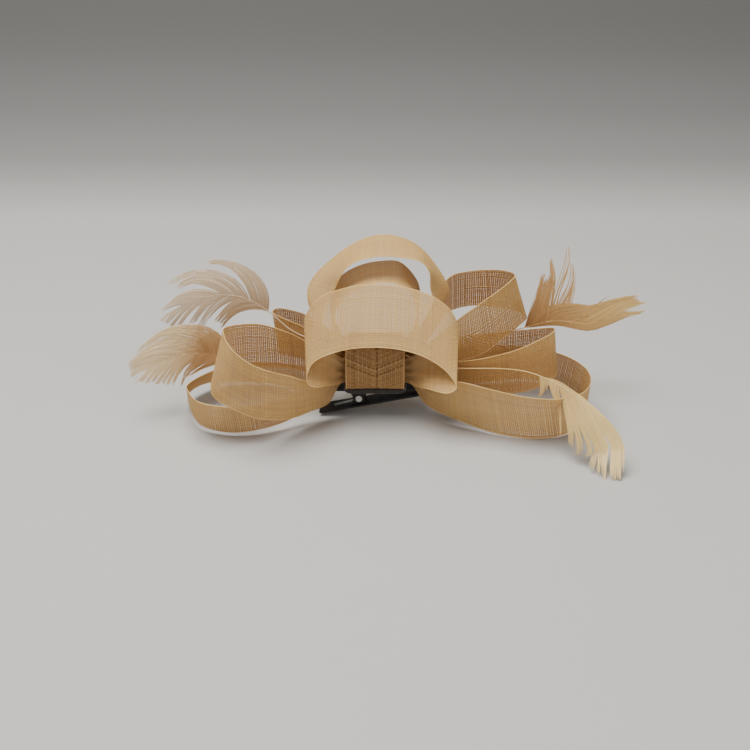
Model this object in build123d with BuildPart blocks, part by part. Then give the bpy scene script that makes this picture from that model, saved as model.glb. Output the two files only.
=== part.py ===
from build123d import *
import os
from math import cos, radians, sin

os.makedirs("parts", exist_ok=True)

# Fascinator headpiece: a bow of nine stiffened ribbon loops and four feathers, pinched
# together in a ribbon wrap, on a felt pad with a sprung hair clip underneath.
# Millimetres, +Z up, +X to the right of the bow. It stands on its lowest loops at Z = 0.

# Ribbon
ribbon_width = 25.0
ribbon_thickness = 0.6
section_step = 3.0          # spacing of the sections along a loop
# Knot: the loops' gathered tails lie side by side in it, like the pages of a book
knot_width = 23.0           # along X
stations_knot_width = 23.0  # for which the stations of the loops and feathers are given
tail_height = 10.0
tail_centre_z = 21.7
tail_pitch = 2.0            # also the thickness of a gathered tail
tail_slots = 7              # side by side, the middle one at Y = 0
lowest_tail_drop = 1.0
tail_inset = 1.0            # from the middle of the knot to the end of a tail
tail_thinning = 3.5         # length over which a tail thins before it leaves the wrap
layer_pitch = 1.7           # of the two top layers, which lie flat
layer_centre_y = 1.0
# Binding thread, wrap and felt pad
thread_thickness = 0.6
thread_pitch = 0.75
thread_turns = 8
thread_slack = 0.05
thread_corner = 0.4
wrap_thickness = 1.0
wrap_inner_corner = 0.8
wrap_overhang = 0.1         # past each end of the knot
pad_length = 25.0
pad_width = 15.0
pad_thickness = 2.0
pad_corner = 4.0
# Hair clip
clip_length = 45.0
clip_width = 8.0
clip_centre_y = 1.0
clip_metal = 0.8
clip_mouth = 0.3            # gap left between the closed jaw tips
clip_lip = 0.6
jaw_tip = 2.0               # length of the turned-up jaw tip
clip_corner = 2.5
heel_offset = 1.0           # from the hinge to the bend in the bottom arm
clip_depth = 6.8            # between the two arms at the hinge
handle_length = 16.0
handle_drop = 3.0
hinge_to_arm = 3.2          # from the hinge axis up to the top arm
ear_radius = 2.0
ear_gap = 0.3
outer_ear_foot = 4.0        # half the length of an ear where it leaves its arm
inner_ear_foot = 3.0
pin_diameter = 1.6
pin_fit = 0.025             # radial, in the fixed ears
pin_running_fit = 0.06      # radial, in the moving ears
pin_head_diameter = 2.6
pin_head_thickness = 0.5
spring_wire = 0.7
spring_turns = 4
spring_slack = 0.3
coil_nesting = 0.96         # coil pitch as a share of the wire, so that the turns touch
leg_reach = 10.0
leg_gap = 0.1
stitch_thickness = 0.35
stitch_positions = (0.0, 4.0, 8.0)
# Feathers
quill_diameter = 1.1
quill_tip_diameter = 0.4
quill_slack = 0.15          # above and below a quill inside the knot
vane_thickness = 0.5
vane_gap = 0.1              # between the front of a vane and its quill

tail_half = knot_width / 2
tail_top = tail_centre_z + tail_height / 2
quill_z = tail_top + quill_slack + quill_diameter / 2
top_layer_z = tail_top + 2 * quill_slack + quill_diameter + layer_pitch / 2
inner_layer_z = top_layer_z + layer_pitch
bundle_top = inner_layer_z + layer_pitch / 2


def smooth(t):
    t = min(max(t, 0.0), 1.0)
    return t * t * (3 - 2 * t)


class Route:
    """A smooth curve through stations, each a tuple of numbers that starts with x, y, z."""

    def __init__(self, stations, straight_ends=False):
        self.stations = stations
        self.distance = [0.0]
        for a, b in zip(stations, stations[1:]):
            gap = Vector(*b[:3]) - Vector(*a[:3])
            self.distance.append(self.distance[-1] + gap.length)
        self.length = self.distance[-1]
        count = len(stations)
        step = [b - a for a, b in zip(self.distance, self.distance[1:])]
        rise = [
            [(q - p) / h for p, q in zip(a, b)]
            for a, b, h in zip(stations, stations[1:], step)
        ]
        self.slope = [rise[0]]
        for i in range(1, count - 1):
            h0, h1 = step[i - 1], step[i]
            self.slope.append(
                [(s * h1 + t * h0) / (h0 + h1) for s, t in zip(rise[i - 1], rise[i])]
            )
        self.slope.append(rise[-1])
        if straight_ends:
            self.slope[1] = rise[0]
            self.slope[-2] = rise[-1]

    def at(self, d):
        i = 0
        while i < len(self.distance) - 2 and self.distance[i + 1] < d:
            i += 1
        h = self.distance[i + 1] - self.distance[i]
        t = (d - self.distance[i]) / h
        here, there = self.stations[i], self.stations[i + 1]
        leave, arrive = self.slope[i], self.slope[i + 1]
        return [
            (2 * t**3 - 3 * t**2 + 1) * p
            + (t**3 - 2 * t**2 + t) * h * m
            + (-2 * t**3 + 3 * t**2) * q
            + (t**3 - t**2) * h * n
            for p, q, m, n in zip(here, there, leave, arrive)
        ]

    def direction(self, d):
        ahead = self.at(min(d + 0.05, self.length))
        behind = self.at(max(d - 0.05, 0.0))
        return (Vector(*ahead[:3]) - Vector(*behind[:3])).normalized()


def width_direction(lean, cant):
    """Across a ribbon, from its lower edge to its upper edge."""
    lean, cant = radians(lean), radians(cant)
    return Vector(sin(cant), cos(cant) * sin(lean), cos(cant) * cos(lean))


def section_plane(point, across, along):
    flat = along - across * along.dot(across)
    return Plane(origin=point, x_dir=across, z_dir=flat.normalized())


def beside_knot(stations):
    """The stations, moved out or in with the sides of the knot."""
    shift = (knot_width - stations_knot_width) / 2
    return [(x + shift * ((x > 0) - (x < 0)), *rest) for x, *rest in stations]


# Ribbon loops. A tail is (side of the knot, y, z, lean). A station is (x, y, z, lean, cant):
# the middle of the ribbon, the lean of its upper edge away from the front, and the cant of
# that edge to the right, in degrees. Flare is the length over which the gathered ribbon
# opens to its full width, out of the first tail and into the last.
def side_tail(side, slot, drop=0.0):
    return (side, slot * tail_pitch, tail_centre_z - drop, 0)


loops = {
    "front_arch": dict(
        tails=(side_tail(-1, -3), side_tail(1, -3)),
        flare=(24, 24),
        stations=[
            (-17, -11, 24.2, 50, 0),
            (-23, -15.5, 28.3, 60, -2),
            (-26.3, -17, 34, 50, -4),
            (-23.5, -15.5, 41, 38, 2),
            (-12, -12, 45.5, 37, 4),
            (0, -10.5, 46.3, 37, 2),
            (12, -11.5, 45.3, 37, 2),
            (22, -14, 42.3, 37, 3),
            (28.8, -16, 37, 42, 4),
            (31.3, -17.5, 31.5, 52, 4),
            (28.5, -16.5, 27.6, 60, 4),
            (19.5, -12.5, 24.4, 56, 2),
        ],
    ),
    "top_arch": dict(
        tails=((-1, layer_centre_y, top_layer_z, 90), (1, layer_centre_y, top_layer_z, 90)),
        flare=(40, 40),
        stations=[
            (-18, 3.5, 32.5, 92, -4),
            (-23.5, 9, 40, 96, -20),
            (-21.8, 14, 48.5, 103, -30),
            (-14, 15, 59.0, 94, -10),
            (-6, 15, 64.4, 88, 1),
            (1.2, 15, 66.2, 87, 0),
            (10.2, 15, 65.6, 88, 0),
            (17.8, 15, 62.7, 94, 2),
            (23.2, 14, 56.5, 102, 10),
            (25.8, 12, 49, 108, 22),
            (24.8, 6, 40.5, 98, 8),
            (19, 3, 33, 92, 2),
        ],
    ),
    "inner_arch": dict(
        tails=((-1, layer_centre_y, inner_layer_z, 90), (1, layer_centre_y, inner_layer_z, 90)),
        flare=(24, 24),
        stations=[
            (-15.5, 4, 34, 90, 0),
            (-17.3, 8, 41, 92, -6),
            (-14.5, 10.5, 48.8, 92, -8),
            (-4.1, 11.5, 55.3, 89, -4),
            (2, 12, 56.3, 88, 0),
            (9.2, 12, 55.8, 87, 3),
            (15.5, 11.5, 50.5, 95, 6),
            (17.5, 8, 41, 92, 4),
            (15.5, 4, 34, 90, 0),
        ],
    ),
    "right_upper": dict(
        tails=(side_tail(1, 0), side_tail(1, 3)),
        flare=(30, 60),
        stations=[
            (22, -3, 26.5, -12, 0),
            (32.9, -2, 32.8, -23, -3),
            (41, 0, 36, -19, -10),
            (48, 2.2, 40.6, -22, -12),
            (55, 6, 44.9, -25, -15),
            (58.3, 12, 46.0, -26, -17),
            (54.5, 18.5, 46.2, -31, -12),
            (47, 23, 45.6, -33, -8),
            (39, 25.5, 44.5, -32, -5),
            (31.5, 28.5, 41.2, -24, -3),
            (24.5, 24, 33, -12, 0),
            (16.5, 12, 25, -5, 0),
        ],
    ),
    "right_middle": dict(
        tails=(side_tail(1, -1), side_tail(1, 1)),
        flare=(50, 40),
        stations=[
            (22, -4.5, 19.2, -14, 0),
            (33.8, -6.5, 20, -26, 3),
            (45, -8.3, 20.7, -26, -5),
            (56, -8.8, 22.4, -23, -8),
            (64, -6.5, 24.5, -20, -8),
            (71, -1.5, 26.6, -21, -8),
            (72, 5, 26, -24, -10),
            (66.5, 12, 23.3, -26, -11),
            (55, 14.5, 20.8, -25, -6),
            (40, 11.5, 20.1, -20, -2),
            (25, 6.5, 20.5, -8, 0),
        ],
    ),
    "right_lower": dict(
        tails=(side_tail(1, -2, 0.6), side_tail(1, 2)),
        flare=(36, 40),
        stations=[
            (20, -8, 13.5, -20, 0),
            (33, -17.5, 13.3, -22, -8),
            (48, -25, 12, -20, -12),
            (60, -28, 11.3, -24, -12),
            (71, -26, 11, -30, -12),
            (80, -17.5, 11, -38, -9),
            (85, -5, 11.3, -42, -6),
            (84, 8, 11.2, -40, -3),
            (78, 17.5, 11.5, -38, -3),
            (64, 23.5, 12, -34, -2),
            (46, 21.5, 12.5, -28, 0),
            (28, 12, 16, -14, 0),
        ],
    ),
    "left_lower": dict(
        tails=(side_tail(-1, -1, lowest_tail_drop), side_tail(-1, 2)),
        flare=(100, 60),
        stations=[
            (-19, -5.5, 14, -12, 0),
            (-28, -11, 10.6, -20, -2),
            (-37, -18.3, 9.1, -27, -3),
            (-46, -23, 9, -30, -1),
            (-57, -24.8, 9.4, -32, 1),
            (-67, -21.5, 10.2, -38, 5),
            (-73, -11, 11.3, -48, 8),
            (-75, 2, 10.5, -58, 8),
            (-69, 12, 10.2, -58, 4),
            (-57, 18.5, 9.8, -48, 1),
            (-42, 18, 9.6, -40, 0),
            (-29, 13.5, 9.6, -24, 0),
            (-21, 10.5, 11.2, -8, 0),
            (-15.5, 6.5, 16.6, -2, 0),
        ],
    ),
    "left_middle": dict(
        tails=(side_tail(-1, -2, 0.3), side_tail(-1, 0)),
        flare=(36, 40),
        stations=[
            (-19, -10, 14, -24, 0),
            (-26, -17.5, 15.6, -28, 0),
            (-32, -25, 18.7, -24, 3),
            (-38.5, -31.5, 22.3, -19, 4),
            (-45, -34.6, 25.7, -15, 5),
            (-51.5, -33.2, 28.9, -12, 9),
            (-57, -27, 30.4, -8, 15),
            (-60, -17, 30.3, -8, 16),
            (-60.5, -8, 29.7, -14, 14),
            (-55, -1, 29, -20, 8),
            (-45, 3.5, 28, -23, 3),
            (-34, 4.5, 25.5, -20, 0),
            (-23, 2.5, 22, -8, 0),
        ],
    ),
    "left_upper": dict(
        tails=(side_tail(-1, 1), side_tail(-1, 3)),
        flare=(50, 50),
        stations=[
            (-20, 6.5, 24.5, -6, 0),
            (-29, 13, 25.5, -12, 0),
            (-36.5, 18, 26, -18, -2),
            (-41.5, 23.5, 26, -20, -3),
            (-39, 29, 25.5, -20, -2),
            (-31, 28, 25, -18, 0),
            (-21, 18.5, 24, -8, 0),
        ],
    ),
}


def tail_stations(tail):
    side, y, z, lean = tail
    return [(side * tail_inset, y, z, lean, 0), (side * tail_half, y, z, lean, 0)]


for name, shape in loops.items():
    first, last = shape["tails"]
    route = Route(
        tail_stations(first) + beside_knot(shape["stations"]) + tail_stations(last)[::-1],
        straight_ends=True,
    )
    tail_length = tail_half - tail_inset
    gathered = layer_pitch if first[3] == 90 else tail_pitch
    full = tail_length - tail_thinning
    steps = round((route.length - 2 * tail_length) / section_step)
    spacing = (route.length - 2 * tail_length) / steps
    middle = [tail_length + i * spacing for i in range(steps + 1)]
    places = [0, full] + middle + [route.length - full, route.length]
    with BuildPart() as loop:
        for d in places:
            x, y, z, lean, cant = route.at(d)
            from_end = min(d, route.length - d)
            opened = min(
                smooth((d - tail_length) / shape["flare"][0]),
                smooth((route.length - d - tail_length) / shape["flare"][1]),
            )
            width = tail_height + (ribbon_width - tail_height) * opened
            thin = smooth((from_end - full) / tail_thinning)
            thickness = gathered + (ribbon_thickness - gathered) * thin
            across = width_direction(lean, cant)
            with BuildSketch(section_plane(Vector(x, y, z), across, route.direction(d))):
                Rectangle(width, thickness)
        loft(ruled=True)
    loop.part.label = name
    export_step(loop.part, f"parts/{name}.step")

# Binding thread: turns drawn tight round the bundle of tails
bundle_half_y = tail_slots * tail_pitch / 2
bundle_bottom = tail_centre_z - lowest_tail_drop - tail_height / 2
bundle_height = bundle_top - bundle_bottom
bundle_middle = (0, (bundle_top + bundle_bottom) / 2)
with BuildPart() as binding_thread:
    for turn in range(thread_turns):
        offset_x = (turn - (thread_turns - 1) / 2) * thread_pitch
        with BuildSketch(Plane.YZ.offset(offset_x)):
            with Locations(bundle_middle):
                RectangleRounded(
                    2 * (bundle_half_y + thread_thickness),
                    bundle_height + 2 * thread_thickness,
                    thread_thickness + thread_corner,
                )
                Rectangle(2 * bundle_half_y, bundle_height, mode=Mode.SUBTRACT)
        extrude(amount=thread_thickness / 2, both=True)
binding_thread.part.label = "binding_thread"
export_step(binding_thread.part, "parts/binding_thread.step")

# Centre wrap: the ribbon sleeve that closes the knot
wrap_room = thread_thickness + thread_slack
wrap_inside_y = 2 * (bundle_half_y + wrap_room)
wrap_inside_z = bundle_height + 2 * wrap_room
wrap_bottom = bundle_bottom - wrap_room - wrap_thickness
with BuildPart() as centre_wrap:
    with BuildSketch(Plane.YZ):
        with Locations(bundle_middle):
            RectangleRounded(
                wrap_inside_y + 2 * wrap_thickness,
                wrap_inside_z + 2 * wrap_thickness,
                wrap_thickness + wrap_inner_corner,
            )
            RectangleRounded(wrap_inside_y, wrap_inside_z, wrap_inner_corner, mode=Mode.SUBTRACT)
    extrude(amount=tail_half + wrap_overhang, both=True)
centre_wrap.part.label = "centre_wrap"
export_step(centre_wrap.part, "parts/centre_wrap.step")

# Felt pad under the wrap
with BuildPart() as felt_pad:
    with BuildSketch(Plane.XY.offset(wrap_bottom - pad_thickness)):
        RectangleRounded(pad_length, pad_width, pad_corner)
    extrude(amount=pad_thickness)
felt_pad.part.label = "felt_pad"
export_step(felt_pad.part, "parts/felt_pad.step")

# Hair clip: the top arm is fixed under the pad and the bottom arm swings on the pin
arm_top = wrap_bottom - pad_thickness
arm_under = arm_top - clip_metal
hinge_x = handle_length - clip_length / 2
hinge_z = arm_under - hinge_to_arm
handle_end = -clip_length / 2
jaw_end = clip_length / 2
heel_x = hinge_x + heel_offset
ear_outside = clip_width / 2
inner_ear_outside = ear_outside - clip_metal - ear_gap
side_plane = Plane.XZ.offset(-clip_centre_y)


with BuildPart() as clip_top_arm:
    with BuildSketch(Plane.XY.offset(arm_under)):
        with Locations((0, clip_centre_y)):
            RectangleRounded(clip_length, clip_width, clip_corner)
    extrude(amount=clip_metal)
    for y in (ear_outside, -ear_outside + clip_metal):
        with BuildSketch(Plane.XZ.offset(-clip_centre_y - y)):
            with BuildLine():
                Polyline(
                    (hinge_x - outer_ear_foot, arm_under + clip_metal / 2),
                    (hinge_x + outer_ear_foot, arm_under + clip_metal / 2),
                    (hinge_x + ear_radius, hinge_z),
                    (hinge_x - ear_radius, hinge_z),
                    close=True,
                )
            make_face()
            with Locations((hinge_x, hinge_z)):
                Circle(ear_radius)
                Circle(pin_diameter / 2 + pin_fit, mode=Mode.SUBTRACT)
        extrude(amount=clip_metal)
clip_top_arm.part.label = "clip_top_arm"
export_step(clip_top_arm.part, "parts/clip_top_arm.step")

lower_arm_z = arm_under - clip_depth
with BuildPart() as clip_bottom_arm:
    with BuildSketch(side_plane):
        with BuildLine():
            Polyline(
                (handle_end, lower_arm_z - handle_drop),
                (heel_x, lower_arm_z),
                (jaw_end - jaw_tip, arm_under - clip_mouth - clip_lip - clip_metal),
                (jaw_end, arm_under - clip_mouth - clip_metal),
                (jaw_end, arm_under - clip_mouth),
                (jaw_end - jaw_tip, arm_under - clip_mouth - clip_lip),
                (heel_x, lower_arm_z + clip_metal),
                (handle_end, lower_arm_z - handle_drop + clip_metal),
                close=True,
            )
        make_face()
    extrude(amount=clip_width / 2, both=True)
    for y in (inner_ear_outside, -inner_ear_outside + clip_metal):
        with BuildSketch(Plane.XZ.offset(-clip_centre_y - y)):
            with BuildLine():
                Polyline(
                    (hinge_x - inner_ear_foot, lower_arm_z),
                    (hinge_x + inner_ear_foot, lower_arm_z + clip_metal),
                    (hinge_x + ear_radius, hinge_z),
                    (hinge_x - ear_radius, hinge_z),
                    close=True,
                )
            make_face()
            with Locations((hinge_x, hinge_z)):
                Circle(ear_radius)
        extrude(amount=clip_metal)
    with BuildSketch(side_plane):
        with Locations((hinge_x, hinge_z)):
            Circle(pin_diameter / 2 + pin_running_fit)
    extrude(amount=clip_width, both=True, mode=Mode.SUBTRACT)
clip_bottom_arm.part.label = "clip_bottom_arm"
export_step(clip_bottom_arm.part, "parts/clip_bottom_arm.step")

# Hinge pin, its ends spread over the outer ears
with BuildPart() as clip_pin:
    with BuildSketch(side_plane):
        with Locations((hinge_x, hinge_z)):
            Circle(pin_diameter / 2)
    extrude(amount=ear_outside + pin_head_thickness, both=True)
    for side in (1, -1):
        head_plane = Plane.XZ.offset(-clip_centre_y - side * ear_outside)
        with BuildSketch(head_plane):
            with Locations((hinge_x, hinge_z)):
                Circle(pin_head_diameter / 2)
        extrude(amount=-side * pin_head_thickness)
clip_pin.part.label = "clip_pin"
export_step(clip_pin.part, "parts/clip_pin.step")

# Torsion spring round the pin, a leg against each arm
coil_radius = pin_diameter / 2 + spring_slack + spring_wire / 2
coil_pitch = spring_wire * coil_nesting
half_wire = spring_wire / 2
leg_x = hinge_x - leg_reach
lower_arm_slope = handle_drop / (heel_x - handle_end)
upper_leg_z = arm_under - leg_gap
lower_leg_z = lower_arm_z + clip_metal - lower_arm_slope * (heel_x - leg_x) + leg_gap
with BuildPart() as clip_spring:
    for turn in range(spring_turns):
        y = clip_centre_y + (turn - (spring_turns - 1) / 2) * coil_pitch
        with BuildSketch(Plane.XZ.offset(-y)):
            with Locations((hinge_x, hinge_z)):
                Circle(coil_radius + half_wire)
                Circle(coil_radius - half_wire, mode=Mode.SUBTRACT)
        extrude(amount=half_wire, both=True)
    for side, leg_z, inner in ((1, upper_leg_z, -1), (-1, lower_leg_z, 1)):
        y = clip_centre_y + side * (spring_turns - 1) / 2 * coil_pitch
        coil_z = hinge_z + side * coil_radius
        with BuildSketch(Plane.XZ.offset(-y)):
            with BuildLine():
                Polyline(
                    (hinge_x, coil_z + half_wire),
                    (leg_x, leg_z + (inner + 1) * half_wire),
                    (leg_x, leg_z + (inner - 1) * half_wire),
                    (hinge_x, coil_z - half_wire),
                    close=True,
                )
            make_face()
        extrude(amount=half_wire, both=True)
clip_spring.part.label = "clip_spring"
export_step(clip_spring.part, "parts/clip_spring.step")

# Stitches: thread over the top arm, its ends drawn up into the pad
stitch_y = clip_width / 2 + stitch_thickness
with BuildPart() as stitches:
    for x in stitch_positions:
        with BuildSketch(Plane.YZ.offset(x)):
            with BuildLine():
                Polyline(
                    (clip_centre_y - stitch_y, arm_top),
                    (clip_centre_y - stitch_y, arm_under - stitch_thickness),
                    (clip_centre_y + stitch_y, arm_under - stitch_thickness),
                    (clip_centre_y + stitch_y, arm_top),
                    (clip_centre_y + clip_width / 2, arm_top),
                    (clip_centre_y + clip_width / 2, arm_under),
                    (clip_centre_y - clip_width / 2, arm_under),
                    (clip_centre_y - clip_width / 2, arm_top),
                    close=True,
                )
            make_face()
        extrude(amount=stitch_thickness / 2, both=True)
stitches.part.label = "stitches"
export_step(stitches.part, "parts/stitches.step")

# Feathers. A station is (x, y, z, lean, cant, above, below): a point of the quill, the
# attitude of the vane there, and the vane's width on each side of the quill. The vane
# lies against the back of its quill and starts where its width does.
feathers = {
    "left_upper": dict(
        side=-1,
        bare=6,
        stations=[
            (-4, 1.4, quill_z, 0, 0, 0, 0),
            (-11.5, 1.4, quill_z, 0, 0, 0, 0),
            (-15, 1.9, 27.8, 0, 10, 0, 0),
            (-18, 3.0, 28.5, 0, 20, 0, 0),
            (-25, 6.0, 29.7, 0, 30, 0, 0),
            (-33.7, 8, 33.2, 4, 42, 0, 0),
            (-41.9, 9, 40.3, 8, 40, 1.2, 1.2),
            (-47, 8.6, 44.2, 6, 30, 7, 5),
            (-53.2, 7.8, 47.3, 4, 12, 10, 8),
            (-59.5, 6.5, 48.6, 4, 0, 13, 12),
            (-67, 4.5, 48.3, 4, -6, 11, 11.5),
            (-74.5, 2.0, 46.3, 4, -14, 9, 9),
            (-81.5, -0.5, 43, 4, -20, 5, 4),
            (-84.5, -1.5, 41.5, 4, -20, 1.5, 1.5),
        ],
    ),
    "left_lower": dict(
        side=-1,
        bare=6,
        stations=[
            (-10.9, tail_pitch / 2, 23, 0, 0, 0, 0),
            (-15, 1.6, 23, 0, 0, 0, 0),
            (-20, 4.0, 23.3, 0, 0, 0, 0),
            (-29, 8.2, 24, 0, 0, 0, 0),
            (-37, 9.6, 24.2, 0, 0, 0, 0),
            (-47, 9, 23.3, 0, 0, 0, 0),
            (-60.6, 5, 22.5, 5, 15, 2, 0.8),
            (-66.6, 2, 25.5, -8, 15, 12.5, 5.5),
            (-72, -3.3, 27.6, -4, 8, 11.5, 9),
            (-76, -5.2, 27.8, 0, 4, 11, 9.8),
            (-79, -6, 27.3, 3, -2, 10.5, 12.5),
            (-84.5, -7.5, 25.2, 5, -15, 10, 11),
            (-91, -8.5, 21.5, 5, -28, 7.5, 5),
            (-94.3, -9, 19.3, 5, -32, 3, 2),
        ],
    ),
    "right_upper": dict(
        side=1,
        bare=7,
        stations=[
            (4, 3, quill_z, 0, 0, 0, 0),
            (11.5, 3.3, quill_z, 0, 0, 0, 0),
            (20, 7.3, 27.6, 0, 0, 0, 0),
            (28, 11.8, 27.3, 0, 0, 0, 0),
            (40, 15.8, 27.8, 0, 0, 0, 0),
            (50, 15.6, 29, 0, 0, 0, 0),
            (57, 14.8, 30.5, 0, 0, 0, 0),
            (61.8, 13.9, 32.2, 5, 25, 0.8, 0.8),
            (67.3, 13.3, 34.1, 5, 10, 13, 1.5),
            (70.5, 12.9, 35, 5, 0, 17, 2),
            (74.7, 12.4, 35.4, 5, 0, 15, 2.5),
            (80.6, 11.5, 35, 5, 0, 9, 3),
            (86.5, 10.6, 34.8, 5, -6, 6.5, 3),
            (92.6, 9.8, 37.4, 5, -22, 5, 3.5),
            (99.2, 9, 40.8, 5, -22, 3.5, 3.5),
            (106.1, 8.4, 42.6, 5, -10, 2.5, 2.5),
        ],
    ),
    "right_lower": dict(
        side=1,
        bare=9,
        stations=[
            (4, -4, quill_z, 0, 0, 0, 0),
            (11.5, -4.2, quill_z, 0, 0, 0, 0),
            (15, -5.1, 25.7, 0, 0, 0, 0),
            (20, -7.1, 23.7, 0, 0, 0, 0),
            (28, -9.2, 24, 0, 0, 0, 0),
            (36, -11.4, 24.8, 0, 0, 0, 0),
            (44.3, -13.2, 25.6, 0, 0, 0, 0),
            (52, -14.4, 25.8, 0, 0, 0, 0),
            (58.4, -15.8, 25.3, 10, 14, 0, 0),
            (65.1, -22.5, 25.2, 20, 20, 0.8, 2),
            (69.3, -28, 24.9, 22, 14, 0.8, 2.2),
            (72.2, -31.9, 24.2, 22, 12, 0.8, 2.8),
            (75, -35, 23, 22, 20, 1, 12),
            (77.9, -37.8, 21.5, 22, 32, 1.2, 14),
            (82.3, -41.5, 18.6, 20, 40, 2.5, 14),
            (86.8, -45, 14.2, 15, 52, 3, 12),
            (89.3, -49, 8.5, 10, 66, 2, 7),
            (88.8, -53, 4, 10, 72, 1, 2.5),
        ],
    ),
}
for name, feather in feathers.items():
    route = Route(beside_knot(feather["stations"]), straight_ends=True)
    steps = round(route.length / section_step)
    taper = (quill_diameter - quill_tip_diameter) / 2 / route.length
    quill_name = f"{name}_quill"
    with BuildPart() as quill:
        for i in range(steps + 1):
            d = route.length * i / steps
            x, y, z, lean, cant, above, below = route.at(d)
            across = width_direction(lean, cant)
            with BuildSketch(section_plane(Vector(x, y, z), across, route.direction(d))):
                Circle(quill_diameter / 2 - taper * d)
        loft(ruled=True)
    quill.part.label = quill_name
    export_step(quill.part, f"parts/{quill_name}.step")

    vane_start = route.distance[feather["bare"]]
    steps = round((route.length - vane_start) / section_step)
    vane_name = f"{name}_vane"
    with BuildPart() as vane:
        for i in range(steps + 1):
            d = vane_start + (route.length - vane_start) * i / steps
            x, y, z, lean, cant, above, below = route.at(d)
            across = width_direction(lean, cant)
            behind = quill_diameter / 2 - taper * d + vane_gap + vane_thickness / 2
            with BuildSketch(section_plane(Vector(x, y, z), across, route.direction(d))):
                with Locations(((above - below) / 2, -feather["side"] * behind)):
                    Rectangle(above + below, vane_thickness)
        loft(ruled=True)
    vane.part.label = vane_name
    export_step(vane.part, f"parts/{vane_name}.step")
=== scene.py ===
import bpy
import bmesh
import math
import numpy as np
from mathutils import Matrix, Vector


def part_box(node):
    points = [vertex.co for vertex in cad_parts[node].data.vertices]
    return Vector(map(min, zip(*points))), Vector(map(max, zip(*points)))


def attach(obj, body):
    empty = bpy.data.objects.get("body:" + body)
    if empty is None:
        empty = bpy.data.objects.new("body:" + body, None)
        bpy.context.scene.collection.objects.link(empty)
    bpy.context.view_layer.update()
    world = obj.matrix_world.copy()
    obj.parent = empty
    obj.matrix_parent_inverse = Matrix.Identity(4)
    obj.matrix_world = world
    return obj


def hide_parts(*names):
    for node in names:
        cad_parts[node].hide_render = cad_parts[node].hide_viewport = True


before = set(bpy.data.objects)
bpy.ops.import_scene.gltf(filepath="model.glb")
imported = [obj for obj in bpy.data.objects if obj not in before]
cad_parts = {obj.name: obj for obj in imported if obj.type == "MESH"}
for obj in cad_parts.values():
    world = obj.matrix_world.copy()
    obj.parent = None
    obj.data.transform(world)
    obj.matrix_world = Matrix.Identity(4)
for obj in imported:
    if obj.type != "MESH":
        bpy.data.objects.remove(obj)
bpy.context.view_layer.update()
mm = 0.001

# The ribbon and the knot, in millimetres, shared by the loops and the wrap
ribbon = {
    "width": 25.0,
    "tailHeight": 10.0,      # of a gathered end
    "tailCentreZ": 21.7,
    "tailPitch": 2.0,
    "tailInset": 1.0,
    "knotWidth": 23.0,
    "topLayerZ": 28.95,
    "innerLayerZ": 30.65,
    "layerCentreY": 1.0,
    "weaveStart": 3.0,       # along a tail, from its end
    "threadPitch": 0.8,
    "threadWidth": 0.5,
    "threadThickness": 0.09,
    "threadWander": 0.05,    # how far a thread strays from its place
    "threadTone": 0.13,      # how far its shade strays
    "middleTone": 0.5,
    "crimp": 0.06,           # how far a thread rises and dips at each crossing
    "selvedgeCrimp": 0.3,    # share of that in the two edge threads
    "selvedgeWidth": 0.46,
    "selvedgeThickness": 0.2,
    "selvedgeTone": 1.12,
    "crossingPaintedLight": 0.2,     # painted light: how much lighter a thread is painted where it rises, and darker where it dips
    "knotPaintedShade": 1.1,        # painted shade: how much darker the ribbon is painted where it is gathered into the knot
    "pleats": 3,
    "pleatDepth": 0.5,
    "pleatDrift": (0.15, 9),  # how far the pleats sway, and over what length
}
tailHalf = ribbon["knotWidth"] / 2


# Shader sockets as Python values
class Sock:
    def __init__(self, tree, socket):
        self.tree = tree
        self.socket = socket

    def maths(self, operation, first, second):
        node = self.tree.nodes.new("ShaderNodeMath")
        node.operation = operation
        for slot, value in enumerate((first, second)):
            if isinstance(value, Sock):
                self.tree.links.new(value.socket, node.inputs[slot])
            else:
                node.inputs[slot].default_value = value
        return Sock(self.tree, node.outputs[0])

    def __add__(self, other):
        return self.maths("ADD", self, other)

    def __radd__(self, other):
        return self.maths("ADD", other, self)

    def __sub__(self, other):
        return self.maths("SUBTRACT", self, other)

    def __rsub__(self, other):
        return self.maths("SUBTRACT", other, self)

    def __mul__(self, other):
        return self.maths("MULTIPLY", self, other)

    def __rmul__(self, other):
        return self.maths("MULTIPLY", other, self)


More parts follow.
